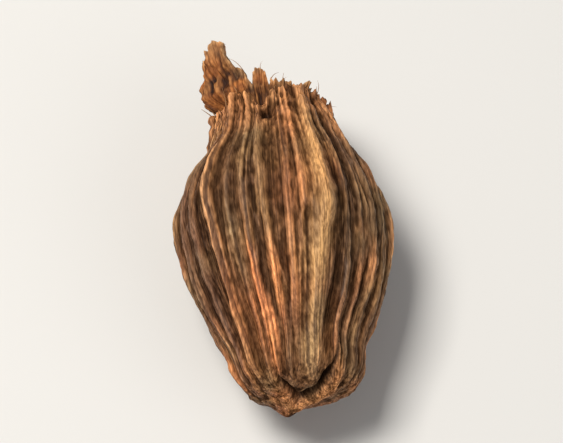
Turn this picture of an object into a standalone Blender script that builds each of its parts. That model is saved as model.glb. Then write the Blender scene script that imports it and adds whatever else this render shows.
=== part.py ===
"""Black cardamom pod: a dried, ribbed seed pod with the torn remains of its calyx, lying on its belly.

Metres, +Z up. The pod's long axis runs along Y: its blunt tip points to -Y and its calyx to +Y.
The origin is on the surface that the pod lies on, under the middle of the pod's bounding box.
"""

import math
import random

import bmesh
import bpy
import numpy as np
from mathutils import Vector, noise

MM = 0.001

# Driving dimensions
HUSK_LENGTH = 31.8 * MM
HUSK_WIDTH = 19.8 * MM
HUSK_THICKNESS = 15.6 * MM
RIB_HEIGHT = 0.6 * MM
CALYX_LENGTH = 7.6 * MM
GAP = 0.3 * MM  # left between the husk and the calyx that stands in its end
FLAT_DEPTH = 0.75 * MM  # how much of the belly's ribs is pressed flat where the pod lies
SEED = 11

# The husk's outline, from the tip to the end that holds the calyx. Each row gives the share of the
# length, then how far the skin stands off the axis to the left and right, as shares of half the
# width, and to the top and bottom, as shares of half the thickness.
OUTLINE = np.array(
    (
        (0.00, 0.00, 0.00, 0.00, 0.00),
        (0.03, 0.35, 0.51, 0.36, 0.32),
        (0.08, 0.45, 0.62, 0.49, 0.45),
        (0.18, 0.56, 0.67, 0.68, 0.64),
        (0.32, 0.75, 0.86, 0.86, 0.84),
        (0.48, 0.88, 0.98, 0.98, 0.97),
        (0.62, 0.94, 0.97, 1.01, 0.99),
        (0.74, 0.83, 0.85, 0.95, 0.91),
        (0.86, 0.60, 0.67, 0.79, 0.74),
        (0.95, 0.54, 0.56, 0.65, 0.60),
        (1.00, 0.52, 0.52, 0.58, 0.54),
    )
)

# The ribs that the upper side shows: degrees round the axis from +X over the top at DRIFT_FROM,
# height as a share of RIB_HEIGHT, spread as a share of RIB_SPREAD, and the degrees that the rib
# drifts round the pod over its length. The underside's ribs are spaced by rule and don't drift.
UPPER_RIBS = (
    (8, 0.7, 1.0, 0),
    (19, 0.8, 1.0, 4),
    (30, 0.9, 1.0, 10),
    (41, 0.5, 0.8, 4),
    (53, 0.8, 0.8, 6),
    (69, 1.6, 1.8, -14),
    (86, 0.4, 0.8, 2),
    (99, 1.0, 0.8, 15),
    (111, 0.6, 0.8, 8),
    (121, 0.4, 0.8, 6),
    (133, 1.4, 0.9, -2),
    (152, 0.8, 1.0, 0),
    (167, 0.8, 1.0, 0),
)
UNDERSIDE_RIBS = 13
COLUMNS_A_RIB = 4  # facets from one rib's crest to the next
RIB_SPREAD = math.radians(3.8)  # how far a rib's flank reaches to each side
DRIFT_FROM = 0.45  # the share of the length where the ribs have the angles given
RIBS_FULL_FROM = 0.13  # the share of the length over which the ribs rise from nothing at the tip
FULL_RELIEF_FROM = 4.4 * MM  # the half width below which ribs and folds get lower towards the tip

# Broad folds that make the section three-sided: angle in degrees, height and reach in degrees
FOLDS = (
    (69, 0.5 * MM, 15),
    (133, 0.45 * MM, 13),
    (186, 0.35 * MM, 16),
    (246, 0.3 * MM, 18),
    (300, 0.35 * MM, 16),
    (2, 0.3 * MM, 14),
)

SIDE_ROWS = 36  # rows of facets from the tip to the rim
ROW_TURN = math.radians(155)  # the turn of a circle whose even steps space those rows
DISH_ROWS = 5  # rows from the rim to the middle of the dished end
DISH_DEPTH = 2.2 * MM
DISH_WALL = 0.16  # the share of the way to the middle over which the dish falls to its floor
RIM_RAGGED = 1.0 * MM  # how far the torn rim wanders
TEARS = ((107, 9, 1.7 * MM), (152, 15, 1.2 * MM))  # in the rim: angle, reach in degrees, depth


def share_at(row):
    """The share of the length at a row: rows lie closer together where the outline turns fastest."""
    turn = ROW_TURN * row / SIDE_ROWS
    return (1 - math.cos(turn)) / (1 - math.cos(ROW_TURN))


def smooth_curve(stations, values, at):
    """A cubic through the values, where each station's slope comes from its two neighbours."""
    slopes = np.gradient(values, stations)
    i = np.clip(np.searchsorted(stations, at, side="right") - 1, 0, len(stations) - 2)
    span = stations[i + 1] - stations[i]
    t = (at - stations[i]) / span
    start = (1 + 2 * t) * (1 - t) ** 2 * values[i] + t * (1 - t) ** 2 * span * slopes[i]
    end = t * t * (3 - 2 * t) * values[i + 1] + t * t * (t - 1) * span * slopes[i + 1]
    return start + end


def half_extents(u):
    """How far the smooth skin stands off the axis to the left, right, top and bottom at share u."""
    halves = (HUSK_WIDTH / 2, HUSK_WIDTH / 2, HUSK_THICKNESS / 2, HUSK_THICKNESS / 2)
    squares = [smooth_curve(OUTLINE[:, 0], OUTLINE[:, k + 1] ** 2, u) for k in range(4)]
    return [half * math.sqrt(max(float(square), 0.0)) for half, square in zip(halves, squares)]


def rib_layout():
    """(angle, height, spread, drift, sway, phase) of every rib, in order round the pod."""
    draw = random.Random(SEED)
    ribs = [(math.radians(angle), *others) for angle, *others in UPPER_RIBS]
    first, last = ribs[-1][0], ribs[0][0] + math.tau
    step = (last - first) / (UNDERSIDE_RIBS + 1)
    for k in range(1, UNDERSIDE_RIBS + 1):
        angle = first + (k + draw.uniform(-0.18, 0.18)) * step
        ribs.append((angle, draw.uniform(0.6, 1.1), 1.0, 0))
    return [
        (
            angle,
            height * RIB_HEIGHT,
            spread * RIB_SPREAD,
            math.radians(drift),
            math.radians(draw.uniform(-2.0, 2.0)),
            draw.uniform(0, math.tau),
        )
        for angle, height, spread, drift in ribs
    ]


RIBS = rib_layout()


def crest_angle(rib, u):
    """A rib wanders a little to each side on its way along the pod."""
    angle, _, _, drift, sway, phase = rib
    return angle + drift * (u - DRIFT_FROM) + sway * math.sin(math.tau * 1.3 * u + phase)


def angle_between(a, b):
    return (a - b + math.pi) % math.tau - math.pi


def bell(value, middle, reach):
    return math.exp(-(((value - middle) / reach) ** 2))


def ridges(u, phi):
    """Height of the ribs above the furrows. They fade out at the very tip."""
    total = 0.0
    for rib in RIBS:
        _, height, spread, _, _, phase = rib
        away = abs(angle_between(phi, crest_angle(rib, u))) / spread
        if away < 4:
            swell = 1 + 0.3 * math.sin(math.tau * 2.3 * u + 2 * phase)
            total += height * swell * math.exp(-(away**1.4))
    return total * min(1.0, u / RIBS_FULL_FROM) ** 1.2


def folds(u, phi):
    """The broad folds, strongest at the belly and gone at both ends."""
    total = 0.0
    for angle, height, reach in FOLDS:
        total += height * bell(angle_between(phi, math.radians(angle)), 0.0, math.radians(reach))
    return total * math.sin(math.pi * min(1.0, max(0.0, u))) ** 0.6


def dents(u, phi):
    """Shrinkage dents of the dried skin, longer than they are wide."""
    place = Vector((2.1 * math.cos(phi), 2.1 * math.sin(phi), 3.2 * u + 5.0))
    return 0.32 * MM * noise.noise(place) * math.sin(math.pi * min(u, 0.97)) ** 0.5


# The crease like a closed mouth across the blunt tip: a groove that runs over the end face above
# the axis and turns up at both ends, with a lip under it and the skin's rounded end over it
CREASE_ABOVE = 1.65 * MM  # its lowest place, over the axis
CREASE_ACROSS = 1.1 * MM  # and to the right of it
CREASE_BEND = 0.19 / MM
CREASE_MIDDLE = 1.5 * MM
CREASE_HALF_LENGTH = 2.9 * MM
CREASE_DEPTH = 1.2 * MM
CREASE_REACH = 0.5 * MM
LIP_DROP = 1.3 * MM  # how far the lip's crest lies under the groove
LIP_HEIGHT = 0.45 * MM
BROW_RISE = 1.5 * MM  # how far the rounded end's crest lies over the groove
BROW_HEIGHT = 0.4 * MM


def crease(x, z):
    """How far the tip's end face is pushed in, at a place measured from the pod's axis."""
    off = z - CREASE_ABOVE - CREASE_BEND * (x - CREASE_ACROSS) ** 2
    pushed = CREASE_DEPTH * bell(off, 0.0, CREASE_REACH)
    pushed -= LIP_HEIGHT * bell(off, -LIP_DROP, 0.7 * MM) + BROW_HEIGHT * bell(off, BROW_RISE, 0.9 * MM)
    return pushed * math.exp(-(((x - CREASE_MIDDLE) / CREASE_HALF_LENGTH) ** 4))


# The knob on the tip, where the pod sat on its stalk
KNOB_AT = Vector((-0.7 * MM, -0.4 * MM))
KNOB_RADIUS = 1.1 * MM
KNOB_HEIGHT = 1.0 * MM
TIP_TO = 0.14  # the share of the length that the crease and the knob belong to


def rim_shift(phi):
    """How far the torn rim stands beyond its mean line."""
    place = Vector((3.1 * math.cos(phi), 3.1 * math.sin(phi), 2.0))
    stands = RIM_RAGGED * noise.noise(place)
    for angle, reach, depth in TEARS:
        stands -= depth * bell(angle_between(phi, math.radians(angle)), 0.0, math.radians(reach))
    return stands


def side_point(u, phi):
    """A point of the husk's side at share u of its length and angle phi round its axis."""
    left, right, top, bottom = half_extents(u)
    outward = Vector((math.cos(phi), 0, math.sin(phi)))
    relief = ridges(u, phi) + folds(u, phi) + dents(u, phi)
    share = min(1.0, min(left, right) / FULL_RELIEF_FROM)
    x = (right if outward.x > 0 else left) * outward.x
    z = (top if outward.z > 0 else bottom) * outward.z
    point = Vector((x, u * HUSK_LENGTH, z)) + outward * relief * share
    near_end = max(0.0, (u - 0.85) / 0.15) ** 2
    point.y += near_end * rim_shift(phi)
    if u < TIP_TO:
        off = Vector((point.x, point.z)) - KNOB_AT
        point.y -= KNOB_HEIGHT * math.exp(-off.length_squared / KNOB_RADIUS**2)
        if point.z > 0:
            point.y += crease(point.x, point.z)
    return point


def dish_point(inward, phi):
    """A point of the dished end face. inward runs from 0 at the rim to 1 at the middle."""
    rim = side_point(1.0, phi)
    middle = Vector((0, HUSK_LENGTH, 0))
    point = rim.lerp(middle, inward)
    floor = HUSK_LENGTH - DISH_DEPTH
    drop = min(1.0, inward / DISH_WALL)
    point.y = rim.y + (floor - rim.y) * drop * drop * (3 - 2 * drop)
    return point


def material(name, colour, roughness):
    made = bpy.data.materials.new(name)
    made.use_nodes = True
    shader = made.node_tree.nodes["Principled BSDF"]
    shader.inputs["Base Color"].default_value = (*colour, 1.0)
    shader.inputs["Roughness"].default_value = roughness
    shader.inputs["Metallic"].default_value = 0.0
    return made


def new_object(name, form, finish):
    """An object of the closed form, with its faces turned outward."""
    if form.calc_volume(signed=True) < 0:
        bmesh.ops.reverse_faces(form, faces=form.faces)
    mesh = bpy.data.meshes.new(name)
    form.to_mesh(mesh)
    form.free()
    mesh.materials.append(finish)
    mesh.shade_smooth()
    made = bpy.data.objects.new(name, mesh)
    bpy.context.scene.collection.objects.link(made)
    return made


def husk():
    """The pod's skin as a globe of facets whose columns follow the ribs, from the tip to the dish."""
    columns = len(RIBS) * COLUMNS_A_RIB
    rows = SIDE_ROWS + DISH_ROWS
    form = bmesh.new()
    bmesh.ops.create_uvsphere(form, u_segments=columns, v_segments=rows, radius=1.0)
    for vert in form.verts:
        row = round(math.acos(max(-1.0, min(1.0, vert.co.z))) / math.pi * rows)
        column = round(math.atan2(vert.co.y, vert.co.x) / math.tau * columns) % columns
        rib, part = divmod(column, COLUMNS_A_RIB)
        u = share_at(min(row, SIDE_ROWS))
        start = crest_angle(RIBS[rib], u)
        end = crest_angle(RIBS[(rib + 1) % len(RIBS)], u)
        phi = start + (end - start) % math.tau * part / COLUMNS_A_RIB
        if row <= SIDE_ROWS:
            vert.co = side_point(u, phi)
        else:
            vert.co = dish_point(((row - SIDE_ROWS) / DISH_ROWS) ** 2, phi)
    return new_object("husk", form, material("husk_skin", (0.17, 0.085, 0.04), 0.75))


# The calyx: a crumpled, torn crown that stands in the husk's dished end
CALYX_FLOOR = HUSK_LENGTH - DISH_DEPTH + GAP
CALYX_FOOT = 0.25 * MM  # the rounding of its foot
CUP_FLOOR = 1.5 * MM  # how far its hollow's floor stands over its foot
CUP_NUB = 0.9 * MM  # the stump of the flower in the middle of that floor
CALYX_HALF_WIDTH = 3.7 * MM
CALYX_HALF_THICKNESS = 2.95 * MM
CALYX_WALL = 0.95 * MM  # measured outward, so that the slanting folds keep 0.6 mm
CALYX_ROOT = 1.5  # how many times thicker the wall is at the bottom of the hollow
CALYX_LOW = 2.7 * MM  # the height of the deepest tears
CALYX_FLARE = 0.3  # how far the crown opens out on its way up, as a share of its height
BULGE_ANGLE = math.radians(164)
BULGE_HALF_ANGLE = math.radians(40)
BULGE = 2.1 * MM  # how far the two longest lobes swell out over the husk's rim
CALYX_COLUMNS = 60
CALYX_BASE_ROWS = 2
CALYX_WALL_ROWS = 7
CALYX_ROWS = 2 * CALYX_BASE_ROWS + 2 * CALYX_WALL_ROWS + 1

# The crown's torn lobes: angle round the axis in degrees, share of CALYX_LENGTH, reach in degrees.
# The two longest stand on the left.
LOBES = (
    (149, 1.0, 28),
    (179, 0.66, 17),
    (102, 0.42, 9),
    (78, 0.16, 15),
    (42, 0.16, 15),
    (8, 0.12, 14),
    (328, 0.3, 15),
    (287, 0.2, 13),
    (247, 0.33, 16),
    (212, 0.4, 12),
)


def crown_height(phi):
    """The torn rim: each lobe is a blunt point, and the tears between them run down to CALYX_LOW."""
    tallest = 0.0
    for angle, share, reach in LOBES:
        away = angle_between(phi, math.radians(angle)) / math.radians(reach)
        tallest = max(tallest, share * math.exp(-(abs(away) ** 3)))
    fray = 0.1 * math.sin(13 * phi + 1.0) + 0.07 * math.sin(23 * phi + 4.0)
    return CALYX_LOW + (CALYX_LENGTH - CALYX_LOW) * tallest * (1 + fray)


def crown_point(phi, height, inset):
    """A point of the crown at that height over its floor, that far in from its outside."""
    rise = height / CALYX_LENGTH
    pleat = 0.2 * MM * math.sin(11 * phi + 2.2 * rise + 0.7) * min(1.0, 0.3 + rise)
    place = Vector((1.6 * math.cos(phi), 1.6 * math.sin(phi), 3.0 * rise + 9.0))
    crumple = 1.3 * MM * min(1.0, 2 * rise) * noise.noise(place)
    swell = min(1.0, max(0.0, (rise - 0.14) / 0.24))
    swell = swell * swell * (3 - 2 * swell) * (1.3 - 0.75 * rise)
    bulge = BULGE * swell * bell(angle_between(phi, BULGE_ANGLE), 0.0, BULGE_HALF_ANGLE)
    opened = CALYX_FLARE * height + pleat + crumple + bulge - inset
    x = (CALYX_HALF_WIDTH + opened) * math.cos(phi)
    z = (CALYX_HALF_THICKNESS + opened) * math.sin(phi)
    return Vector((x, CALYX_FLOOR + height, z))


def calyx():
    """The crown as a globe of facets: its foot, up the outside, over the torn rim and down inside."""
    form = bmesh.new()
    bmesh.ops.create_uvsphere(form, u_segments=CALYX_COLUMNS, v_segments=CALYX_ROWS, radius=1.0)
    rim_row = CALYX_BASE_ROWS + CALYX_WALL_ROWS
    for vert in form.verts:
        row = round(math.acos(max(-1.0, min(1.0, vert.co.z))) / math.pi * CALYX_ROWS)
        phi = math.atan2(vert.co.y, vert.co.x)
        top = crown_height(phi)
        if row <= CALYX_BASE_ROWS:
            spread = row / CALYX_BASE_ROWS
            edge = crown_point(phi, CALYX_FOOT, 0.0)
            middle = Vector((0, CALYX_FLOOR, 0))
            vert.co = middle.lerp(edge, spread)
            vert.co.y = CALYX_FLOOR + CALYX_FOOT * spread**3
        elif row <= rim_row:
            vert.co = crown_point(phi, top * (row - CALYX_BASE_ROWS) / CALYX_WALL_ROWS, 0.0)
        elif row <= rim_row + 1 + CALYX_WALL_ROWS:
            down = (row - rim_row - 1) / CALYX_WALL_ROWS
            height = top + (CUP_FLOOR - top) * down
            vert.co = crown_point(phi, height, CALYX_WALL * (1 + (CALYX_ROOT - 1) * down))
        else:
            spread = (CALYX_ROWS - row) / CALYX_BASE_ROWS
            edge = crown_point(phi, CUP_FLOOR, CALYX_ROOT * CALYX_WALL)
            middle = Vector((0, CALYX_FLOOR + CUP_FLOOR + CUP_NUB, 0))
            vert.co = middle.lerp(edge, spread)
    return new_object("calyx", form, material("calyx_tissue", (0.25, 0.115, 0.045), 0.85))


def set_down(pieces):
    """Lays the pod on z = 0 with its lowest ribs pressed flat, centred over the origin."""
    corners = np.array([vert.co for piece in pieces for vert in piece.data.vertices])
    low, high = corners.min(axis=0), corners.max(axis=0)
    shift = Vector((-(low[0] + high[0]) / 2, -(low[1] + high[1]) / 2, -low[2] - FLAT_DEPTH))
    for piece in pieces:
        for vert in piece.data.vertices:
            vert.co += shift
            vert.co.z = max(vert.co.z, 0.0)


def main():
    for old in list(bpy.data.objects):
        bpy.data.objects.remove(old)
    set_down([husk(), calyx()])


main()
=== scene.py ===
"""Looks of the black cardamom pod: its fibrous ribbed husk, its torn calyx and the loose fibres."""

import math
import random

import bmesh
import bpy
import numpy as np
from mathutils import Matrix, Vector, noise


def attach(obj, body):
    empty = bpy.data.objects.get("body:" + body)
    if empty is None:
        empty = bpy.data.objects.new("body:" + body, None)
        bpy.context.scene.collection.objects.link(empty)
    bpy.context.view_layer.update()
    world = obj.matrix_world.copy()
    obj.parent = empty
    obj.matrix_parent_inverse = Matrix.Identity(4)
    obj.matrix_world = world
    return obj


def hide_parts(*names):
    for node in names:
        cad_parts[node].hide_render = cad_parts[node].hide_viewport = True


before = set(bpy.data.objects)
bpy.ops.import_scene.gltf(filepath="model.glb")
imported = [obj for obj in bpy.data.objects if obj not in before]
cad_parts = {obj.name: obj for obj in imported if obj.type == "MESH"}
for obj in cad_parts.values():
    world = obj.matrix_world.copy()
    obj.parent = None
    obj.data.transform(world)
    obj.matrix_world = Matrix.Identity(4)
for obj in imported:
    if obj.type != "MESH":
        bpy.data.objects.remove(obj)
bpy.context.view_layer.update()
MM = 0.001

# The husk
# The pod's dried skin, one tough fibrous wall that grew round the seeds. Drying drew it in
# between its veins, so they stand out as ribs from the blunt tip to the torn rim at the other end.
HUSK_LENGTH = 31.8 * MM
HUSK_WIDTH = 19.8 * MM
HUSK_THICKNESS = 15.6 * MM
RIB_HEIGHT = 0.6 * MM
RIBS_FULL_FROM = 0.09  # the share of the length over which the ribs rise from nothing at the tip
FULL_RELIEF_FROM = 4.4 * MM  # the half width below which the relief gets lower towards the tip
AXIS_AT = np.array((-0.136, -18.360, 7.527)) * MM  # where the tip's end of the pod's axis lies
SEED = 11

HUSK_COLUMNS = 384
HUSK_SIDE_ROWS = 230
HUSK_DISH_ROWS = 25
ROW_TURN = math.radians(155)  # the turn of a circle whose even steps space the side's rows

# The share of the length, then how far the skin stands off the axis to the left and right, as
# shares of half the width, and to the top and bottom, as shares of half the thickness
OUTLINE = np.array(
    (
        (0.00, 0.00, 0.00, 0.00, 0.00),
        (0.03, 0.35, 0.51, 0.36, 0.32),
        (0.08, 0.45, 0.62, 0.49, 0.45),
        (0.18, 0.56, 0.67, 0.68, 0.64),
        (0.32, 0.75, 0.86, 0.86, 0.84),
        (0.48, 0.88, 0.98, 0.98, 0.97),
        (0.62, 0.94, 0.97, 1.01, 0.99),
        (0.74, 0.83, 0.85, 0.95, 0.91),
        (0.86, 0.60, 0.67, 0.79, 0.74),
        (0.95, 0.54, 0.56, 0.65, 0.60),
        (1.00, 0.52, 0.52, 0.58, 0.54),
    )
)


def smooth_curve(stations, values, at):
    """A cubic through the values, where each station's slope comes from its two neighbours."""
    slopes = np.gradient(values, stations)
    i = np.clip(np.searchsorted(stations, at, side="right") - 1, 0, len(stations) - 2)
    span = stations[i + 1] - stations[i]
    t = (at - stations[i]) / span
    start = (1 + 2 * t) * (1 - t) ** 2 * values[i] + t * (1 - t) ** 2 * span * slopes[i]
    end = t * t * (3 - 2 * t) * values[i + 1] + t * t * (t - 1) * span * slopes[i + 1]
    return start + end


def half_extents(u):
    """How far the smooth skin stands off the axis to the left, right, top and bottom at share u."""
    halves = (HUSK_WIDTH / 2, HUSK_WIDTH / 2, HUSK_THICKNESS / 2, HUSK_THICKNESS / 2)
    squares = [smooth_curve(OUTLINE[:, 0], OUTLINE[:, k + 1] ** 2, u) for k in range(4)]
    return [half * np.sqrt(np.maximum(square, 0.0)) for half, square in zip(halves, squares)]


def angle_between(a, b):
    return (a - b + math.pi) % math.tau - math.pi


def bell(value, middle, reach):
    return np.exp(-(((value - middle) / reach) ** 2))


def ramp(value, low, high):
    """0 below low, 1 above high, smooth between them. A low above the high turns it round."""
    t = np.clip((value - low) / (high - low), 0.0, 1.0)
    return t * t * (3 - 2 * t)


def skin_noise(grid, across, along, offset, octaves=1):
    """Noise over a skin, whose grid is its angles, shares of the length and shares of the girth.

    Across sets how fast the noise changes round the pod, along how fast down its length.
    """
    wide, long, round_share = np.broadcast_arrays(*grid)
    x = across * round_share * np.cos(wide)
    y = across * round_share * np.sin(wide)
    z = along * long + offset
    points = zip(x.ravel(), y.ravel(), z.ravel())
    if octaves == 1:
        values = [noise.noise(point) for point in points]
    else:
        values = [noise.fractal(point, 0.7, 2.1, octaves) for point in points]
    return np.array(values).reshape(long.shape)


# The upper side's ribs: degrees round the axis from +X over the top at DRIFT_FROM, height as a
# share of RIB_HEIGHT, spread as a share of RIB_SPREAD, and the degrees that the rib drifts round
# the pod over its length. The underside's ribs are spaced by rule and don't drift.
UPPER_RIBS = (
    (8, 0.7, 1.0, 0),
    (19, 0.8, 1.0, 4),
    (30, 0.9, 1.0, 10),
    (41, 0.5, 0.8, 4),
    (53, 0.8, 0.8, 6),
    (69, 1.6, 2.0, -8),
    (86, 0.4, 0.8, 2),
    (99, 1.0, 0.8, 15),
    (111, 0.6, 0.8, 8),
    (121, 0.4, 0.8, 6),
    (133, 1.4, 0.9, -2),
    (152, 0.8, 1.0, 0),
    (167, 0.8, 1.0, 0),
)
UNDERSIDE_RIBS = 13
RIB_SPREAD = math.radians(3.8)
RIB_SWAY = 1.0  # how many degrees a rib may sway to each side
RIB_SWAY_TURNS = 1.3
RIB_SWELL = 0.3  # how much a rib's height rises and falls along the pod
RIB_SWELL_TURNS = 2.3
DRIFT_FROM = 0.45


def rib_layout():
    """(angle, height, spread, drift, sway, phase) of every rib, in order round the pod."""
    draw = random.Random(SEED)
    ribs = [(math.radians(angle), *others) for angle, *others in UPPER_RIBS]
    first, last = ribs[-1][0], ribs[0][0] + math.tau
    step = (last - first) / (UNDERSIDE_RIBS + 1)
    for k in range(1, UNDERSIDE_RIBS + 1):
        angle = first + (k + draw.uniform(-0.18, 0.18)) * step
        ribs.append((angle, draw.uniform(0.6, 1.1), 1.0, 0))
    return [
        (
            angle,
            height * RIB_HEIGHT,
            spread * RIB_SPREAD,
            math.radians(drift),
            math.radians(draw.uniform(-RIB_SWAY, RIB_SWAY)),
            draw.uniform(0, math.tau),
        )
        for angle, height, spread, drift in ribs
    ]


def ridges(u, phi):
    """Height of the main ribs above the furrows. They fade out at the very tip."""
    total = np.zeros(np.broadcast(u, phi).shape)
    for angle, height, spread, drift, sway, phase in rib_layout():
        sways = sway * np.sin(math.tau * RIB_SWAY_TURNS * u + phase)
        crest = angle + drift * (u - DRIFT_FROM) + sways
        away = np.abs(angle_between(phi, crest)) / spread
        swell = 1 + RIB_SWELL * np.sin(math.tau * RIB_SWELL_TURNS * u + 2 * phase)
        total += np.where(away < 4, height * swell * np.exp(-(away**1.4)), 0)
    return total * np.minimum(1.0, u / RIBS_FULL_FROM) ** 1.2


VEINS = 210
VEIN_LOW = 0.06 * MM
VEIN_HIGH = 0.22 * MM
VEIN_SLANT = math.radians(9)  # how far a vein may drift round the pod over its whole length


def veins(u, phi):
    """The fine veins between the ribs. Each shows for a part of the length and runs into a rib."""
    draw = random.Random(SEED + 5)
    tallest = np.zeros(np.broadcast(u, phi).shape)
    for _ in range(VEINS):
        angle = draw.uniform(0, math.tau)
        slant = draw.uniform(-VEIN_SLANT, VEIN_SLANT)
        sway = math.radians(draw.uniform(0.5, 2.5))
        phase = draw.uniform(0, math.tau)
        middle = draw.uniform(0.08, 0.98)
        reach = draw.uniform(0.1, 0.42)
        spread = math.radians(draw.uniform(0.9, 1.7))
        height = draw.uniform(VEIN_LOW, VEIN_HIGH)
        crest = angle + slant * (u - middle) / reach + sway * np.sin(math.tau * 1.1 * u + phase)
        away = np.abs(angle_between(phi, crest)) / spread
        showing = np.exp(-(np.abs((u - middle) / reach) ** 3))
        tallest = np.maximum(tallest, height * showing * np.exp(-(away**1.5)))
    return tallest * ramp(u, 0.01, 0.1)


# A branch rib slants from the rim into the tallest rib
BRANCH_RIM_ANGLE = 79
BRANCH_END_ANGLE = 78
BRANCH_FROM = 0.5
BRANCH_HEIGHT = 0.4 * MM
BRANCH_SPREAD = math.radians(2.6)


def branch_rib(u, phi):
    way = np.clip((u - BRANCH_FROM) / (1 - BRANCH_FROM), 0.0, 1.0)
    turn = BRANCH_END_ANGLE + (BRANCH_RIM_ANGLE - BRANCH_END_ANGLE) * way**1.2
    away = np.abs(angle_between(phi, np.radians(turn))) / BRANCH_SPREAD
    return BRANCH_HEIGHT * ramp(way, 0.0, 0.12) * np.exp(-(away**1.5))


FOLD_FADE = 0.6  # how evenly the folds keep their height towards both ends
# Broad folds that make the section three-sided: angle in degrees, height and reach in degrees
FOLDS = (
    (69, 0.5 * MM, 15),
    (133, 0.45 * MM, 13),
    (186, 0.35 * MM, 16),
    (246, 0.3 * MM, 18),
    (300, 0.35 * MM, 16),
    (2, 0.3 * MM, 14),
)


def folds(u, phi):
    """The broad folds, strongest at the belly and gone at both ends."""
    total = 0.0
    for angle, height, reach in FOLDS:
        total = total + height * bell(angle_between(phi, math.radians(angle)), 0.0, math.radians(reach))
    return total * np.sin(math.pi * np.clip(u, 0.0, 1.0)) ** FOLD_FADE


# The crease like a closed mouth across the blunt tip: a groove that runs over the end face above
# the axis and turns up at both ends, with a lip under it and the skin's rounded end over it
CREASE_ABOVE = 1.9 * MM  # its lowest place, over the axis
CREASE_ACROSS = 1.1 * MM  # and to the right of it
CREASE_BEND = 0.19 / MM
CREASE_MIDDLE = 1.5 * MM
CREASE_HALF_LENGTH = 2.9 * MM
CREASE_DEPTH = 1.2 * MM
CREASE_REACH = 0.34 * MM
SLOW_WAVER = 0.22 * MM  # how far the groove's line strays up and down, slowly and finely
SLOW_WAVER_LENGTH = 0.62 * MM
FINE_WAVER = 0.14 * MM
FINE_WAVER_LENGTH = 0.27 * MM
LIP_DROP = 1.3 * MM  # how far the lip's crest lies under the groove
LIP_HEIGHT = 0.45 * MM
LIP_REACH = 0.7 * MM
BROW_RISE = 1.3 * MM  # how far the rounded end's crest lies over the groove
BROW_HEIGHT = 0.4 * MM
BROW_REACH = 0.9 * MM


def over_groove(x, z):
    """How far a place on the end face lies over the groove's middle line, which wavers."""
    wavers = SLOW_WAVER * np.sin(x / SLOW_WAVER_LENGTH + 1.0) + FINE_WAVER * np.sin(x / FINE_WAVER_LENGTH)
    return z - CREASE_ABOVE - CREASE_BEND * (x - CREASE_ACROSS) ** 2 + wavers


def along_groove(x):
    """1 over the groove's length, falling to 0 past both ends."""
    return np.exp(-(((x - CREASE_MIDDLE) / CREASE_HALF_LENGTH) ** 4))


def crease(x, z):
    """How far the tip's end face is pushed in, at a place measured from the pod's axis."""
    off = over_groove(x, z)
    pushed = CREASE_DEPTH * bell(off, 0.0, CREASE_REACH)
    pushed = pushed - LIP_HEIGHT * bell(off, -LIP_DROP, LIP_REACH)
    pushed = pushed - BROW_HEIGHT * bell(off, BROW_RISE, BROW_REACH)
    return pushed * along_groove(x)


# The knob on the tip, where the pod sat on its stalk
KNOB_AT = (-0.7 * MM, -0.4 * MM)
KNOB_RADIUS = 1.1 * MM
KNOB_HEIGHT = 1.0 * MM
TIP_TO = 0.14  # the share of the length that the crease and the knob belong to

DISH_DEPTH = 2.2 * MM
DISH_WALL = 0.16  # the share of the dish's radius over which its wall drops
RIM_FROM = 0.85  # the share of the length from which the skin follows the torn rim
RIM_RAGGED = 1.0 * MM
RIM_RAGS = 3.1  # how fast the rim's rags change round it, and its finer frays
RIM_FRAY = 0.5 * MM
RIM_FRAYS = 17.0
TEARS = ((102, 8, 2.1 * MM), (152, 15, 1.2 * MM))  # in the rim: angle, reach in degrees, depth


def rim_shift(phi):
    """How far the torn rim stands beyond its mean line."""
    shift = 0.0
    for height, speed, offset in ((RIM_RAGGED, RIM_RAGS, 2.0), (RIM_FRAY, RIM_FRAYS, 7.0)):
        places = [(speed * math.cos(a), speed * math.sin(a), offset) for a in phi.ravel()]
        shift = shift + height * np.array([noise.noise(place) for place in places])[None, :]
    for angle, reach, depth in TEARS:
        shift = shift - depth * bell(angle_between(phi, math.radians(angle)), 0.0, math.radians(reach))
    return shift


def blurred(values, around, down):
    """The values averaged over so many columns round the pod and rows down it, to each side."""
    total = sum(np.roll(values, k, axis=1) for k in range(-around, around + 1)) / (2 * around + 1)
    padded = np.pad(total, ((down, down), (0, 0)), mode="edge")
    rows = values.shape[0]
    return sum(padded[k : k + rows] for k in range(2 * down + 1)) / (2 * down + 1)


phi = (np.arange(HUSK_COLUMNS) * math.tau / HUSK_COLUMNS)[None, :]
side_turn = ROW_TURN * np.arange(HUSK_SIDE_ROWS + 1) / HUSK_SIDE_ROWS
u = ((1 - np.cos(side_turn)) / (1 - math.cos(ROW_TURN)))[:, None]
left, right, top, bottom = half_extents(u)
girth = np.minimum(1.0, np.minimum(left, right) / FULL_RELIEF_FROM)
husk_grid = (phi, u, girth)
near_rim = ramp(u, 0.78, 1.0)
near_tip = ramp(u, 0.24, 0.06)
end_face = ramp(u, 0.06, 0.03)

# A pit where the skin sank in beside the torn rim, and the mound over it
PIT_ANGLE = math.radians(98)
PIT_HALF_ANGLE = math.radians(8)
PIT_AT = 0.9
PIT_REACH = 0.024
PIT_DEPTH = 1.1 * MM
MOUND_ANGLE = math.radians(117)
MOUND_HALF_ANGLE = math.radians(9)
MOUND_HEIGHT = 0.6 * MM

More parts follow.
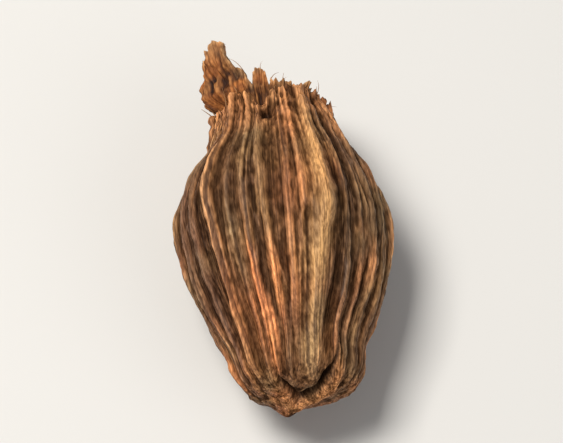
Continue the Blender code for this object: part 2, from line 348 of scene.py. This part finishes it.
# Every line of the skin wanders with the wall's own grain, and the ribs swell and dent with it
WANDER = math.radians(0.6)
DENT = 0.32 * MM
wander = skin_noise(husk_grid, 2.6, 8.0, 61.0) + skin_noise(husk_grid, 8.0, 24.0, 67.0)
lines = phi + WANDER * wander
rib_relief = ridges(u, lines) * (1 + 0.45 * skin_noise(husk_grid, 2.5, 8.0, 71.0))
vein_relief = veins(u, lines) + branch_rib(u, lines)
dents = DENT * skin_noise(husk_grid, 2.1, 3.2, 5.0) * np.sin(math.pi * np.minimum(u, 0.97)) ** 0.5
grains = skin_noise(husk_grid, 17.0, 26.0, 21.0, octaves=2)
wrinkles = skin_noise(husk_grid, 6.0, 16.0, 33.0, octaves=2)
crumple = 0.5 - np.abs(skin_noise(husk_grid, 7.0, 20.0, 43.0, octaves=2))
lumps = skin_noise(husk_grid, 4.2, 15.0, 83.0, octaves=2)
# Each kind of fine relief is stronger where the skin was torn or drawn tight
fine_relief = (
    (0.07 + 0.09 * near_rim) * MM * grains
    + 0.1 * MM * wrinkles
    + (0.34 * near_rim + 0.05 * near_tip) * MM * crumple
    + (0.14 * near_tip + 0.3 * end_face + 0.42 * near_rim) * MM * lumps
)
hollow = bell(angle_between(lines, PIT_ANGLE), 0.0, PIT_HALF_ANGLE) * bell(u, PIT_AT, PIT_REACH)
mound = bell(angle_between(lines, MOUND_ANGLE), 0.0, MOUND_HALF_ANGLE) * bell(u, 0.99, 0.03)
surface_relief = rib_relief + vein_relief + fine_relief
relief = surface_relief + folds(u, phi) + dents
relief = (relief + MOUND_HEIGHT * mound - PIT_DEPTH * hollow) * girth
x = (np.where(np.cos(phi) > 0, right, left) + relief) * np.cos(phi)
z = (np.where(np.sin(phi) > 0, top, bottom) + relief) * np.sin(phi)
y = u * HUSK_LENGTH + np.maximum(0.0, (u - RIM_FROM) / (1 - RIM_FROM)) ** 2 * rim_shift(phi)
off_knob = (x - KNOB_AT[0]) ** 2 + (z - KNOB_AT[1]) ** 2
y = y - np.where(u < TIP_TO, KNOB_HEIGHT * np.exp(-off_knob / KNOB_RADIUS**2), 0.0)
y = y + np.where((u < TIP_TO) & (z > 0), crease(x, z), 0.0)

inward = ((np.arange(1, HUSK_DISH_ROWS + 1) / HUSK_DISH_ROWS) ** 2)[:, None]
drop = ramp(inward, 0.0, DISH_WALL)
dish_y = y[-1:] + (HUSK_LENGTH - DISH_DEPTH - y[-1:]) * drop
places = np.stack(
    [
        np.concatenate([x, x[-1:] * (1 - inward)]),
        np.concatenate([y, dish_y]),
        np.concatenate([z, z[-1:] * (1 - inward)]),
    ],
    axis=-1,
)
places = places + AXIS_AT
places[..., 2] = np.maximum(places[..., 2], 0.0)


def zone(angle, angle_reach, middle, reach, drift=0):
    """1 in the middle of a patch of skin, falling to 0 round it. The patch drifts like a rib.

    The angle, its reach and the drift are in degrees, the middle and reach shares of the length.
    """
    centre = np.radians(angle + drift * (u - middle))
    across = angle_between(lines, centre) / math.radians(angle_reach)
    along = (u - middle) / reach
    return np.exp(-across * across - along * along)


def clouds(across, along, offset):
    """Soft irregular patches over the husk, with 0 between them."""
    return np.clip(skin_noise(husk_grid, across, along, offset, octaves=2), 0, 1)


def with_dish(values, in_dish):
    """The side's values, carried on over the dished end with one value."""
    whole = np.broadcast_to(values, (HUSK_SIDE_ROWS + 1, HUSK_COLUMNS))
    return np.concatenate([whole, np.full((HUSK_DISH_ROWS, HUSK_COLUMNS), in_dish)])


# The groove's line, painted near black as shade, and the lip under it
GROOVE_SHADE_REACH = 0.36 * MM
groove_off = over_groove(x, z)
in_groove = along_groove(x) * ramp(u, TIP_TO, 0.1)
groove_shade = bell(groove_off, 0.0, GROOVE_SHADE_REACH) * in_groove * (z > 0)
on_lip = bell(groove_off, -LIP_DROP, LIP_REACH) * in_groove

# How far each place stands over its close and its wider neighbours. Where it is low, shade is
# painted into the furrows; where high, the crests are lighter, partly worn, partly painted highlight.
# The tall ridge, the tip's rounded end, the streaks and the right side are made lighter still.
CLOSE_STEP = 0.1 * MM
WIDE_STEP = 0.25 * MM
close = surface_relief - blurred(surface_relief, 3, 3)
wide = surface_relief - blurred(surface_relief, 11, 9)
streaked = zone(97, 3, 0.3, 0.1, 15) + zone(112, 3, 0.31, 0.1, 8) + zone(105, 3, 0.2, 0.07, 30)
relief_light_and_shade = (
    0.43
    + 0.24 * close / CLOSE_STEP
    + 0.26 * wide / WIDE_STEP
    + 0.2 * zone(70, 7, 0.6, 0.32, -8)
    + 0.2 * zone(76, 12, 0.12, 0.06)
    + 0.28 * streaked
    - 0.1 * zone(140, 22, 0.2, 0.18)
    + 0.08 * zone(32, 20, 0.55, 0.35)
)
# The crease's groove is darkened here too, as painted shade
relief_light_and_shade = np.clip(relief_light_and_shade, 0.0, 1.0) * (1 - 0.95 * groove_shade)
mottle = skin_noise(husk_grid, 2.4, 5.0, 51.0, octaves=3)
worn = (
    0.25
    + 0.9 * zone(66, 8, 0.7, 0.33, -10)
    + 0.85 * zone(132, 5, 0.55, 0.45, -4)
    + 0.7 * zone(101, 4, 0.58, 0.42, 12)
    + 0.5 * near_rim
    + 0.7 * clouds(3.2, 6.0, 57.0)
)
tan = (
    0.9 * zone(70, 8, 0.66, 0.24, -6)
    + 0.6 * zone(73, 6, 0.34, 0.14, -14)
    + 0.2 * zone(132, 4, 0.58, 0.35, -4)
    + 0.35 * zone(101, 2.8, 0.6, 0.3, 12)
    + 0.25 * near_rim
    + 0.45 * on_lip
    + 0.25 * zone(76, 12, 0.12, 0.06)
    + 0.5 * np.clip(mottle - 0.1, 0, 1)
)
rust = (
    1.3 * zone(97, 2.6, 0.3, 0.11, 15)
    + 1.3 * zone(112, 2.6, 0.31, 0.1, 8)
    + 1.2 * zone(105, 2.6, 0.2, 0.07, 30)
    + 0.8 * zone(110, 3, 0.13, 0.06)
    + 0.2 * zone(133, 4, 0.5, 0.4, -2)
    + 0.35 * zone(86, 8, 0.45, 0.27)
    + 0.5 * near_rim
    + 0.7 * on_lip
    + 0.7 * clouds(2.0, 4.0, 63.0)
)
olive = (
    1.0 * zone(76, 12, 0.12, 0.06)
    + 0.8 * zone(112, 9, 0.84, 0.09)
    + 0.7 * zone(121, 5, 0.45, 0.14, 6)
    + 0.5 * zone(30, 16, 0.5, 0.3)
    + 0.8 * clouds(2.2, 5.5, 93.0)
)
ash = (
    0.9 * zone(162, 16, 0.5, 0.3)
    + 0.5 * zone(150, 10, 0.24, 0.12)
    + 0.3 * zone(50, 9, 0.45, 0.2)
    + 0.8 * clouds(2.2, 4.5, 77.0)
)
# The crease's groove, the pit by the rim and the dish's hollow are painted dark as shade
pit_and_groove_shade = np.maximum(0.95 * hollow, 0.97 * groove_shade)
husk_masks = {
    "relief_light_and_shade": with_dish(relief_light_and_shade, 0.2),
    "worn": with_dish(np.clip(worn, 0, 1), 0.3),
    "tan": with_dish(np.clip(tan, 0, 1), 0.3),
    "rust": with_dish(np.clip(rust, 0, 1), 0.3),
    "olive": with_dish(np.clip(olive, 0, 1), 0.0),
    "ash": with_dish(np.clip(ash, 0, 1), 0.0),
    "pit_and_groove_shade": with_dish(pit_and_groove_shade, 0.6),
}

SEAM = 0.0001 * MM  # the places along the grid's edge that are nearer than this are one


def closed_skin(name, places, masks, girths):
    """A grid rolled up round the pod's axis and closed at both ends, with a value of each mask."""
    rows, columns = places.shape[0] - 1, places.shape[1]
    form = bmesh.new()
    bmesh.ops.create_grid(form, x_segments=columns, y_segments=rows, size=1.0)
    mesh = bpy.data.meshes.new(name)
    form.to_mesh(mesh)
    form.free()
    seat = np.empty(len(mesh.vertices) * 3)
    mesh.vertices.foreach_get("co", seat)
    seat = (seat.reshape(-1, 3) + 1) / 2
    column = np.rint(seat[:, 0] * columns).astype(int) % columns
    row = np.rint(seat[:, 1] * rows).astype(int)
    mesh.vertices.foreach_set("co", places[row, column].astype(np.float32).ravel())
    for mask, values in masks.items():
        values = np.broadcast_to(values, (rows + 1, columns))[row, column].astype(np.float32)
        mesh.attributes.new(mask, "FLOAT", "POINT").data.foreach_set("value", values)
    angle = column * math.tau / columns
    lie = np.stack([np.cos(angle) * girths[row], np.sin(angle) * girths[row], row / rows], axis=1)
    lie = lie.astype(np.float32)
    mesh.attributes.new("lie", "FLOAT_VECTOR", "POINT").data.foreach_set("vector", lie.ravel())
    form = bmesh.new()
    form.from_mesh(mesh)
    edge = [vert for vert in form.verts if vert.is_boundary]
    bmesh.ops.remove_doubles(form, verts=edge, dist=SEAM)
    if form.calc_volume(signed=True) < 0:
        bmesh.ops.reverse_faces(form, faces=form.faces)
    form.to_mesh(mesh)
    form.free()
    mesh.shade_smooth()
    made = bpy.data.objects.new(name, mesh)
    bpy.context.scene.collection.objects.link(made)
    return made


girths = np.concatenate([girth.ravel(), (1 - inward).ravel()])
rim_edge = places[HUSK_SIDE_ROWS]
husk = closed_skin("husk_skin", places, husk_masks, girths)


def node(tree, kind, **settings):
    made = tree.nodes.new(kind)
    for key, value in settings.items():
        setattr(made, key, value)
    return made


def mask_of(tree, name):
    return node(tree, "ShaderNodeAttribute", attribute_name=name).outputs["Fac"]


def mixed(tree, factor, first, second, blend="MIX"):
    """A colour mix. Each colour is a socket or a plain colour."""
    mix = node(tree, "ShaderNodeMix", data_type="RGBA", blend_type=blend)
    for socket, value in ((mix.inputs["Factor"], factor), (mix.inputs[6], first), (mix.inputs[7], second)):
        if isinstance(value, bpy.types.NodeSocket):
            tree.links.new(value, socket)
        elif isinstance(value, tuple):
            socket.default_value = (*value, 1.0)
        else:
            socket.default_value = value
    return mix.outputs[2]


def mapped(tree, value, low, high, to_low, to_high):
    """The value stretched from one range to another and held there."""
    span = node(tree, "ShaderNodeMapRange")
    tree.links.new(value, span.inputs["Value"])
    for key, number in (("From Min", low), ("From Max", high), ("To Min", to_low), ("To Max", to_high)):
        span.inputs[key].default_value = number
    return span.outputs["Result"]


def product(tree, first, second):
    times = node(tree, "ShaderNodeMath", operation="MULTIPLY")
    tree.links.new(first, times.inputs[0])
    if isinstance(second, bpy.types.NodeSocket):
        tree.links.new(second, times.inputs[1])
    else:
        times.inputs[1].default_value = second
    return times.outputs[0]


def streaks(tree, source, scale, detail, stretch=(1, 1, 1)):
    """Noise on a vector socket, with that vector stretched first."""
    placing = node(tree, "ShaderNodeMapping")
    placing.inputs["Scale"].default_value = stretch
    tree.links.new(source, placing.inputs["Vector"])
    made = node(tree, "ShaderNodeTexNoise")
    tree.links.new(placing.outputs["Vector"], made.inputs["Vector"])
    made.inputs["Scale"].default_value = scale
    made.inputs["Detail"].default_value = detail
    return made.outputs["Fac"]


def hairlines(tree, pattern, level, reach):
    """Thin wandering lines, where a pattern is at one level. 1 on a line, 0 beside it."""
    off = node(tree, "ShaderNodeMath", operation="SUBTRACT")
    tree.links.new(pattern, off.inputs[0])
    off.inputs[1].default_value = level
    away = node(tree, "ShaderNodeMath", operation="ABSOLUTE")
    tree.links.new(off.outputs[0], away.inputs[0])
    return mapped(tree, away.outputs[0], 0.0, reach, 1, 0)


def shaded(tree, colour, pattern, dark, light):
    """The colour darkened and lightened by a pattern: where it is low and where it is high."""
    tone = mixed(tree, mapped(tree, pattern, 0.36, 0.64, 0, 1), dark, light)
    return mixed(tree, 1.0, colour, tone, "MULTIPLY")


def bumped(tree, height, strength, distance, under=None):
    bump = node(tree, "ShaderNodeBump")
    bump.inputs["Strength"].default_value = strength
    bump.inputs["Distance"].default_value = distance
    tree.links.new(height, bump.inputs["Height"])
    if under is not None:
        tree.links.new(under, bump.inputs["Normal"])
    return bump.outputs["Normal"]


def new_material(name, roughness, specular):
    made = bpy.data.materials.new(name)
    made.use_nodes = True
    shader = made.node_tree.nodes["Principled BSDF"]
    shader.inputs["Roughness"].default_value = roughness
    shader.inputs["Specular IOR Level"].default_value = specular
    return made, made.node_tree, shader


# The furrow colour is painted shade; the crest colour is partly wear, partly painted highlight
FURROW_SHADE = (0.043, 0.02, 0.0095)
SKIN = (0.135, 0.062, 0.027)
CREST_WEAR_AND_HIGHLIGHT = (0.3, 0.165, 0.085)
TAN = (0.51, 0.29, 0.112)
RUST = (0.78, 0.28, 0.105)
OLIVE = (0.32, 0.23, 0.12)
ASH = (0.2, 0.105, 0.07)
# The pit colour, near black, is painted shade in the groove and the pit
PIT_SHADE = (0.012, 0.005, 0.003)
# What the patterns multiply the colour by, where they are low and where they are high
FIBRE_DARK, FIBRE_LIGHT = (0.42, 0.37, 0.33), (1.6, 1.6, 1.58)
SPECK_DARK, SPECK_LIGHT = (0.62, 0.58, 0.54), (1.36, 1.36, 1.34)
BLOTCH_DARK, BLOTCH_LIGHT = (0.82, 0.79, 0.77), (1.17, 1.16, 1.12)
CRACK = (0.42, 0.38, 0.36)
THREAD = (1.75, 1.72, 1.65)
FIBRE_BUMP = 0.12 * MM  # how high the fibres and the specks stand, below what the mesh can follow
SPECK_BUMP = 0.09 * MM

skin, tree, shader = new_material("husk_skin", roughness=0.62, specular=0.22)
relief_light_and_shade_mask = mask_of(tree, "relief_light_and_shade")
object_place = node(tree, "ShaderNodeTexCoord").outputs["Object"]
lie_place = node(tree, "ShaderNodeAttribute", attribute_name="lie").outputs["Vector"]
fibre = streaks(tree, lie_place, 34.0, 4.0, (1, 1, 0.05))
specks = streaks(tree, object_place, 4600.0, 3.0, (1, 0.2, 1))
blotches = streaks(tree, object_place, 420.0, 2.0, (1, 0.6, 1))
# Painted shade in the furrows, and crests lighter, partly as wear, partly as painted highlight
colour = mixed(tree, mapped(tree, relief_light_and_shade_mask, 0.12, 0.5, 0, 1), FURROW_SHADE, SKIN)
high = product(tree, mapped(tree, relief_light_and_shade_mask, 0.46, 0.95, 0, 1), mask_of(tree, "worn"))
colour = mixed(tree, high, colour, CREST_WEAR_AND_HIGHLIGHT)
# The tints show less in the furrows, which keep their painted shade
lit = mapped(tree, relief_light_and_shade_mask, 0.15, 0.65, 0.2, 1.0)
for mask, strength, tint in (
    ("ash", 0.5, ASH),
    ("olive", 0.6, OLIVE),
    ("rust", 0.75, RUST),
    ("tan", 0.8, TAN),
):
    amount = product(tree, product(tree, mask_of(tree, mask), lit), strength)
    colour = mixed(tree, amount, colour, tint)
colour = shaded(tree, colour, fibre, FIBRE_DARK, FIBRE_LIGHT)
colour = shaded(tree, colour, specks, SPECK_DARK, SPECK_LIGHT)
colour = shaded(tree, colour, blotches, BLOTCH_DARK, BLOTCH_LIGHT)
wandering = streaks(tree, lie_place, 15.0, 1.5, (1, 1, 0.13))
cracks = product(tree, hairlines(tree, wandering, level=0.46, reach=0.025), 0.75)
threads = product(tree, hairlines(tree, wandering, level=0.56, reach=0.025), 0.75)
colour = mixed(tree, cracks, colour, CRACK, "MULTIPLY")
colour = mixed(tree, threads, colour, THREAD, "MULTIPLY")
# Painted shade, near black, in the crease's groove, the pit and the dish
colour = mixed(tree, mask_of(tree, "pit_and_groove_shade"), colour, PIT_SHADE)
tree.links.new(colour, shader.inputs["Base Color"])
tree.links.new(mapped(tree, specks, 0.3, 0.7, 0.8, 0.5), shader.inputs["Roughness"])
tree.links.new(mapped(tree, relief_light_and_shade_mask, 0.2, 0.7, 0.03, 0.3), shader.inputs["Specular IOR Level"])
fibre_bump = bumped(tree, fibre, 0.5, FIBRE_BUMP)
tree.links.new(bumped(tree, specks, 0.4, SPECK_BUMP, fibre_bump), shader.inputs["Normal"])
husk.data.materials.append(skin)
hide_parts("husk")
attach(husk, "root")

# The calyx
# The withered foot of the flower, a papery crown that broke off in lobes of different heights.
# It grew out of the husk's end, and stands loose in the hollow there since it dried.
CALYX_LENGTH = 7.6 * MM
CALYX_FLOOR = HUSK_LENGTH - DISH_DEPTH + 0.3 * MM
CALYX_HALF_WIDTH = 3.7 * MM
CALYX_HALF_THICKNESS = 2.95 * MM
CALYX_FOOT = 0.25 * MM
CUP_FLOOR = 1.5 * MM
CUP_NUB = 0.9 * MM
CALYX_WALL = 0.55 * MM
CALYX_LOW = 2.7 * MM
CALYX_FLARE = 0.3
TEAR_DEPTH = 1.1 * MM
PLEATS = 11
PLEAT_HEIGHT = 0.2 * MM
CRUMPLE_HEIGHT = 1.3 * MM
BULGE_ANGLE = math.radians(164)
BULGE_HALF_ANGLE = math.radians(40)
BULGE = 2.1 * MM  # how far the two longest lobes swell out over the husk's rim
CALYX_COLUMNS = 360
CALYX_BASE_ROWS = 5
CALYX_WALL_ROWS = 60
# The crown's torn lobes: angle round the axis in degrees, share of the length, reach in degrees
LOBES = (
    (149, 1.0, 28),
    (179, 0.66, 17),
    (102, 0.42, 9),
    (78, 0.16, 15),
    (42, 0.16, 15),
    (8, 0.12, 14),
    (328, 0.3, 15),
    (287, 0.2, 13),
    (247, 0.33, 16),
    (212, 0.4, 12),
)

crown_phi = (np.arange(CALYX_COLUMNS) * math.tau / CALYX_COLUMNS)[None, :]
crown_line = (crown_phi, np.zeros((1, 1)), 1.0)
tallest = np.zeros_like(crown_phi)
for angle, lobe_share, reach in LOBES:
    away = angle_between(crown_phi, math.radians(angle)) / math.radians(reach)
    tallest = np.maximum(tallest, lobe_share * np.exp(-(np.abs(away) ** 4)))
fray = 0.1 * np.sin(13 * crown_phi + 1.0) + 0.07 * np.sin(23 * crown_phi + 4.0)
tears = np.abs(skin_noise(crown_line, 9.0, 0.0, 4.0)) + 0.3 * np.abs(skin_noise(crown_line, 27.0, 0.0, 9.0))
crown_top = CALYX_LOW + (CALYX_LENGTH - CALYX_LOW) * tallest * (1 + fray) - TEAR_DEPTH * tears

spread = np.arange(CALYX_BASE_ROWS + 1) / CALYX_BASE_ROWS
climb = np.arange(1, CALYX_WALL_ROWS + 1) / CALYX_WALL_ROWS
fall = np.arange(CALYX_WALL_ROWS + 1) / CALYX_WALL_ROWS
outside = CALYX_FOOT + (crown_top - CALYX_FOOT) * climb[:, None]
inside = crown_top + (CUP_FLOOR - crown_top) * fall[:, None]
heights = np.concatenate([outside, inside])
wall = CALYX_WALL * np.concatenate([np.zeros(CALYX_WALL_ROWS), 1 + 1.2 * fall])[:, None]
crown_u = heights / CALYX_LENGTH
crown_grid = (crown_phi, crown_u, 1.0)
grow = np.minimum(1.0, 2 * crown_u)
pleat = PLEAT_HEIGHT * np.sin(PLEATS * crown_phi + 2.2 * crown_u + 0.7) * np.minimum(1.0, 0.3 + crown_u)
crumple = CRUMPLE_HEIGHT * grow * skin_noise(crown_grid, 1.6, 3.0, 9.0)
creased = skin_noise(crown_grid, 8.0, 4.0, 15.0, octaves=3)
veined = np.abs(skin_noise(crown_grid, 14.0, 1.5, 25.0, octaves=2))
lumps = skin_noise(crown_grid, 4.5, 4.0, 37.0, octaves=2)
rough = grow * (0.4 * creased - 0.35 * veined + 0.4 * lumps) * MM
swell = ramp(crown_u, 0.14, 0.38) * (1.3 - 0.75 * crown_u)
bulge = BULGE * swell * bell(angle_between(crown_phi, BULGE_ANGLE), 0.0, BULGE_HALF_ANGLE)
opened = CALYX_FLARE * heights + pleat + crumple + rough + bulge - wall
wall_x = (CALYX_HALF_WIDTH + opened) * np.cos(crown_phi)
wall_z = (CALYX_HALF_THICKNESS + opened) * np.sin(crown_phi)
wall_y = CALYX_FLOOR + heights + 0.3 * MM * grow * skin_noise(crown_grid, 5.0, 6.0, 41.0)
foot_x, foot_z = wall_x[0] * spread[:, None], wall_z[0] * spread[:, None]
foot_y = CALYX_FLOOR + CALYX_FOOT * np.broadcast_to(spread[:, None] ** 3, foot_x.shape)
back = spread[::-1][1:, None]
cup_x, cup_z = wall_x[-1] * back, wall_z[-1] * back
cup_y = wall_y[-1] + (CALYX_FLOOR + CUP_FLOOR + CUP_NUB - wall_y[-1]) * (1 - back)
places = np.stack(
    [
        np.concatenate([foot_x, wall_x[1:], cup_x]),
        np.concatenate([foot_y, wall_y[1:], cup_y]),
        np.concatenate([foot_z, wall_z[1:], cup_z]),
    ],
    axis=-1,
)


def with_ends(values, at_foot, in_cup):
    """The wall's values, carried on over the crown's foot and the bottom of its hollow."""
    whole = np.broadcast_to(values[1:], (heights.shape[0] - 1, CALYX_COLUMNS))
    foot = np.full((CALYX_BASE_ROWS + 1, CALYX_COLUMNS), at_foot)
    return np.concatenate([foot, whole, np.full((CALYX_BASE_ROWS, CALYX_COLUMNS), in_cup)])


torn = np.concatenate([climb**8, (1 - fall) ** 8])[:, None]
stands = rough - blurred(rough, 5, 4)
warm = 0.5 + skin_noise(crown_grid, 2.0, 3.0, 55.0, octaves=2) + 0.5 * ramp(crown_u, 0.5, 0.9)
# The relief mask paints shade into the crumples' hollows, the foot and the cup's bottom, and highlight on
# the crumples' tops
crown_masks = {
    "relief_light_and_shade": with_ends(np.clip(0.45 + 0.32 * stands / CLOSE_STEP, 0, 1), 0.2, 0.1),
    "torn": with_ends(torn, 0.0, 0.0),
    "warm": with_ends(np.clip(warm, 0, 1), 0.5, 0.5),
}
girths = np.concatenate([spread, np.ones(heights.shape[0] - 1), back.ravel()])
crown_edge = places[CALYX_BASE_ROWS + CALYX_WALL_ROWS] + AXIS_AT
calyx = closed_skin("calyx_crown", places + AXIS_AT, crown_masks, girths)

# The dark paper colour is painted shade, the light one painted highlight
PAPER_SHADE = (0.04, 0.014, 0.006)
PAPER = (0.18, 0.072, 0.024)
PAPER_HIGHLIGHT = (0.34, 0.15, 0.05)
PAPER_RUST = (0.42, 0.145, 0.036)
TORN_EDGE = (0.52, 0.3, 0.14)
PAPER_FIBRE_DARK, PAPER_FIBRE_LIGHT = (0.5, 0.43, 0.38), (1.4, 1.4, 1.4)
PAPER_SPECK_DARK, PAPER_SPECK_LIGHT = (0.65, 0.58, 0.54), (1.3, 1.3, 1.28)

paper, tree, shader = new_material("calyx_paper", roughness=0.7, specular=0.2)
object_place = node(tree, "ShaderNodeTexCoord").outputs["Object"]
lie_place = node(tree, "ShaderNodeAttribute", attribute_name="lie").outputs["Vector"]
fibre = streaks(tree, lie_place, 26.0, 4.0, (1, 1, 0.1))
specks = streaks(tree, object_place, 3600.0, 3.0, (1, 0.35, 1))
relief_light_and_shade_mask = mask_of(tree, "relief_light_and_shade")
# Painted shade in the crumples' hollows and painted highlight on their tops
colour = mixed(tree, mapped(tree, relief_light_and_shade_mask, 0.1, 0.5, 0, 1), PAPER_SHADE, PAPER)
colour = mixed(tree, mapped(tree, relief_light_and_shade_mask, 0.45, 0.9, 0, 1), colour, PAPER_HIGHLIGHT)
colour = mixed(tree, mapped(tree, mask_of(tree, "warm"), 0.35, 0.75, 0, 0.6), colour, PAPER_RUST)
colour = mixed(tree, product(tree, mask_of(tree, "torn"), 0.8), colour, TORN_EDGE)
colour = shaded(tree, colour, fibre, PAPER_FIBRE_DARK, PAPER_FIBRE_LIGHT)
colour = shaded(tree, colour, specks, PAPER_SPECK_DARK, PAPER_SPECK_LIGHT)
tree.links.new(colour, shader.inputs["Base Color"])
fibre_bump = bumped(tree, fibre, 0.5, FIBRE_BUMP)
tree.links.new(bumped(tree, specks, 0.5, SPECK_BUMP, fibre_bump), shader.inputs["Normal"])
calyx.data.materials.append(paper)
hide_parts("calyx")
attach(calyx, "root")

# The loose fibres
# Stiff dry fibres that were left standing where the stalk's tissue tore off the rim and the crown.
# Each is a tapering hair, rooted in the torn edge and bent by its drying.
RIM_FIBRES = 14
CROWN_FIBRES = 10
FIBRE_SIDES = 5
FIBRE_STEPS = 7
FIBRE_ROOT = 0.12 * MM  # how deep a fibre's foot stands in the torn edge
THINNEST = 0.035 * MM
THICKEST = 0.075 * MM
SHORTEST = 0.7 * MM
LONGEST = 2.1 * MM
TAPER = 0.75  # the share of its thickness that a fibre has lost at its end
STRAW = (0.34, 0.17, 0.07)


def fibre_hair(form, foot, way, bend, length, thickness):
    """Adds a hair that starts at the foot, runs the way given and turns by the bend as it goes."""
    step = length / FIBRE_STEPS
    place = foot - way * FIBRE_ROOT
    turned = way.to_track_quat("Z", "Y").to_matrix().to_4x4()
    turned.translation = place
    circle = bmesh.ops.create_circle(
        form, cap_ends=True, segments=FIBRE_SIDES, radius=thickness, matrix=turned
    )
    ring = circle["verts"]
    edges = [edge for edge in form.edges if edge.verts[0] in ring and edge.verts[1] in ring]
    for k in range(FIBRE_STEPS):
        drawn = bmesh.ops.extrude_edge_only(form, edges=edges)["geom"]
        ring = [item for item in drawn if isinstance(item, bmesh.types.BMVert)]
        edges = [
            item
            for item in drawn
            if isinstance(item, bmesh.types.BMEdge) and item.verts[0] in ring and item.verts[1] in ring
        ]
        way = (way + bend * (k + 1) / FIBRE_STEPS).normalized()
        bmesh.ops.translate(form, verts=ring, vec=way * step)
        place = place + way * step
        narrower = 1 - TAPER / FIBRE_STEPS / (1 - TAPER * k / FIBRE_STEPS)
        for vert in ring:
            vert.co = place + (vert.co - place) * narrower
    bmesh.ops.contextual_create(form, geom=edges)


draw = random.Random(SEED + 9)
form = bmesh.new()
axis_middle = Vector((AXIS_AT[0], 0.0, AXIS_AT[2]))
for edge_line, count, least_angle, most_angle in (
    (rim_edge, RIM_FIBRES, 10, 350),
    (crown_edge, CROWN_FIBRES, 60, 230),
):
    columns = len(edge_line)
    for k in range(count):
        angle = least_angle + (most_angle - least_angle) * (k + draw.uniform(0.1, 0.9)) / count
        foot = Vector(edge_line[round(angle / 360 * columns) % columns])
        outward = Vector((foot.x - axis_middle.x, 0.0, foot.z - axis_middle.z)).normalized()
        lean = outward * draw.uniform(0.1, 0.7)
        way = (lean + Vector((draw.uniform(-0.4, 0.4), 1.0, draw.uniform(-0.3, 0.3)))).normalized()
        bend = Vector((draw.uniform(-0.45, 0.45), draw.uniform(-0.2, 0.1), draw.uniform(-0.4, 0.2)))
        fibre_hair(form, foot, way, bend, draw.uniform(SHORTEST, LONGEST), draw.uniform(THINNEST, THICKEST))
bmesh.ops.recalc_face_normals(form, faces=form.faces)
fibre_mesh = bpy.data.meshes.new("loose_fibres")
form.to_mesh(fibre_mesh)
form.free()
fibre_mesh.shade_smooth()
fibres = bpy.data.objects.new("loose_fibres", fibre_mesh)
bpy.context.scene.collection.objects.link(fibres)
straw, tree, shader = new_material("fibre_straw", roughness=0.6, specular=0.25)
shader.inputs["Base Color"].default_value = (*STRAW, 1.0)
fibre_mesh.materials.append(straw)
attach(fibres, "root")

# The floor, the light and the camera
# A plain pale floor under one soft light from the upper left, with a weak fill from the right.
FLOOR_HALF_WIDTH = 1.2
FLOOR_DROP = 0.02 * MM  # keeps the floor clear of the pod's flat spot
FLOOR_PALE = (0.74, 0.73, 0.71)
form = bmesh.new()
bmesh.ops.create_grid(form, x_segments=1, y_segments=1, size=FLOOR_HALF_WIDTH)
floor_mesh = bpy.data.meshes.new("floor")
form.to_mesh(floor_mesh)
form.free()
floor = bpy.data.objects.new("floor", floor_mesh)
floor.location.z = -FLOOR_DROP
bpy.context.scene.collection.objects.link(floor)
plain, tree, shader = new_material("floor_pale", roughness=0.8, specular=0.2)
shader.inputs["Base Color"].default_value = (*FLOOR_PALE, 1.0)
floor_mesh.materials.append(plain)

POD_MIDDLE = Vector((0.0, 0.0, 0.008))
STUDIO_WHITE = 0.205  # how bright the white round the studio is


def soft_light(name, place, size, watts, colour):
    """A square light at the place, turned to the pod."""
    data = bpy.data.lights.new(name, "AREA")
    data.size = size
    data.energy = watts
    data.color = colour
    lamp = bpy.data.objects.new(name, data)
    lamp.location = place
    lamp.rotation_euler = (POD_MIDDLE - Vector(place)).to_track_quat("-Z", "Y").to_euler()
    bpy.context.scene.collection.objects.link(lamp)


soft_light("key", place=(-0.17, 0.05, 0.42), size=0.2, watts=2.15, colour=(1.0, 0.97, 0.92))
soft_light("fill", place=(0.35, -0.3, 0.3), size=0.4, watts=0.6, colour=(0.97, 0.98, 1.0))
world = bpy.data.worlds.new("studio")
world.use_nodes = True
world.node_tree.nodes["Background"].inputs["Color"].default_value = (1.0, 1.0, 1.0, 1.0)
world.node_tree.nodes["Background"].inputs["Strength"].default_value = STUDIO_WHITE
bpy.context.scene.world = world
bpy.context.scene.view_settings.view_transform = "Standard"

CAMERA_AZIMUTH = math.radians(-3.9)
CAMERA_ELEVATION = math.radians(62)
CAMERA_DISTANCE = 0.45
CAMERA_LENS = 300
AIM_AT = Vector((0.0, 0.0013, 0.0075))
camera_data = bpy.data.cameras.new("camera")
camera_data.lens = CAMERA_LENS
camera_data.sensor_width = 36
camera_data.clip_start = 0.01
camera = bpy.data.objects.new("camera", camera_data)
back_way = Vector(
    (
        math.sin(CAMERA_AZIMUTH) * math.cos(CAMERA_ELEVATION),
        -math.cos(CAMERA_AZIMUTH) * math.cos(CAMERA_ELEVATION),
        math.sin(CAMERA_ELEVATION),
    )
)
camera.location = AIM_AT + CAMERA_DISTANCE * back_way
camera.rotation_euler = (-back_way).to_track_quat("-Z", "Y").to_euler()
bpy.context.scene.collection.objects.link(camera)
bpy.context.scene.camera = camera
